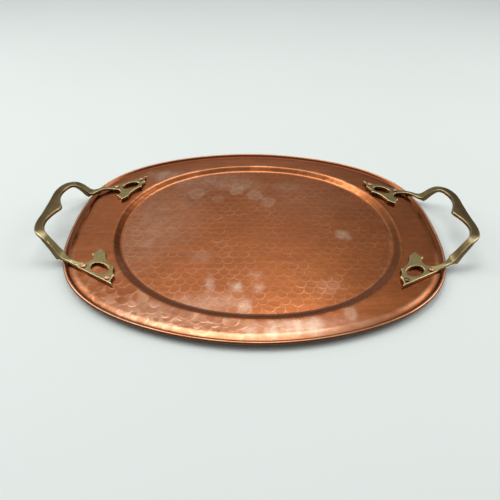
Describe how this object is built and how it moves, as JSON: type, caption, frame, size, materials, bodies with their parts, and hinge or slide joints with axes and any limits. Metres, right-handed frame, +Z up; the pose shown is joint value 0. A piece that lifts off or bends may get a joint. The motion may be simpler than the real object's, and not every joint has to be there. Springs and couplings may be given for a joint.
{
  "type": "serving tray",
  "caption": "Oval hammered copper serving tray with a recessed floor, a wired edge and riveted cast brass handles on pierced leaf feet.",
  "frame": {"origin": "middle of the underside of the floor, which is the middle of the whole object's footprint, on the table", "axes": "+X along the tray through both handles, +Y across it to the back, +Z up"},
  "size_m": [0.4652, 0.3162, 0.031],
  "materials": {
    "copper_sheet": "hammered copper, aged, satin",
    "rim_wire": "plain drawn wire",
    "cast_brass": "aged cast brass, worn bright on its edges",
    "copper_rivet": "domed copper, polished by wear"
  },
  "bodies": {
    "root": {"tray_body": "copper_sheet", "rim_wire": "rim_wire", "handle_left": "cast_brass", "handle_right": "cast_brass", "rivet_left_front_outer": "copper_rivet", "rivet_left_front_inner": "copper_rivet", "rivet_left_back_outer": "copper_rivet", "rivet_left_back_inner": "copper_rivet", "rivet_right_front_outer": "copper_rivet", "rivet_right_front_inner": "copper_rivet", "rivet_right_back_outer": "copper_rivet", "rivet_right_back_inner": "copper_rivet"}
  },
  "joints": []
}
